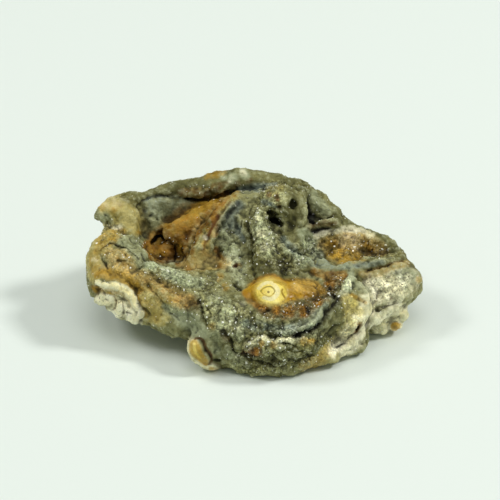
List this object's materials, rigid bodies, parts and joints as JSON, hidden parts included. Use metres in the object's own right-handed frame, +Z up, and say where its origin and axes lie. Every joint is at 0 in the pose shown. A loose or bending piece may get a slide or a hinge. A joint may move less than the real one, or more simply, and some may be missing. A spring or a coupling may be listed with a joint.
{
  "type": "chalcedony rose",
  "caption": "Display stone: a folded grey-green chalcedony rose with rusty drusy hollows and a honey-coloured eye, which rests on a small flat spot.",
  "frame": {"origin": "middle of the stone's box at the level of its rest spot", "axes": "+Z up, +X to the right as the picture shows the stone, +Y to the back"},
  "size_m": [0.0572, 0.0376, 0.0203],
  "materials": {
    "chalcedony": "semi-gloss"
  },
  "bodies": {
    "root": {"chalcedony_rose": "chalcedony"}
  },
  "joints": []
}
